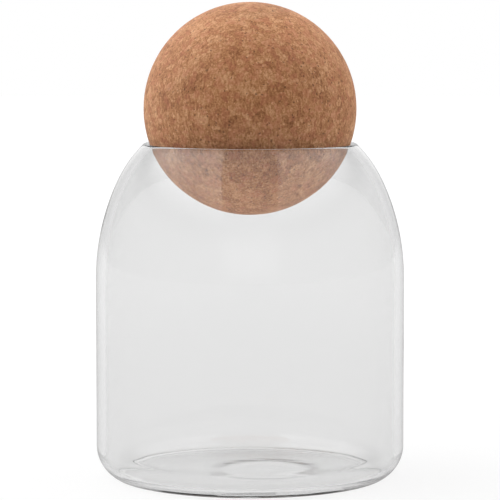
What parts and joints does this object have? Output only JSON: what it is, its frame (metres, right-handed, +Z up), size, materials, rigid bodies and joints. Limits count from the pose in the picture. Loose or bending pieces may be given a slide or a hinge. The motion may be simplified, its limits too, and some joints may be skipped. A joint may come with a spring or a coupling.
{
  "type": "glass jar with cork ball lid",
  "caption": "Blown glass storage jar with a straight side, a shoulder that leans in to a round lip, and a solid cork ball that rests in the mouth as a lift-off lid.",
  "frame": {"origin": "middle of the ring that the jar stands on", "axes": "+Z up along the jar's axis; +X towards the side on which the pontil mark lies off the middle"},
  "size_m": [0.1, 0.1, 0.1538],
  "materials": {
    "glass": "clear blown borosilicate glass with a fire-polished lip",
    "cork": "sanded agglomerated cork, matt, unsealed"
  },
  "bodies": {
    "jar": {"glass_jar": "glass"},
    "ball": {"cork_ball": "cork"}
  },
  "joints": [
    {"name": "ball_lift", "type": "slide", "parent": "jar", "child": "ball", "axis": [0, 0, 1], "range_m": [0, 0.06]}
  ]
}
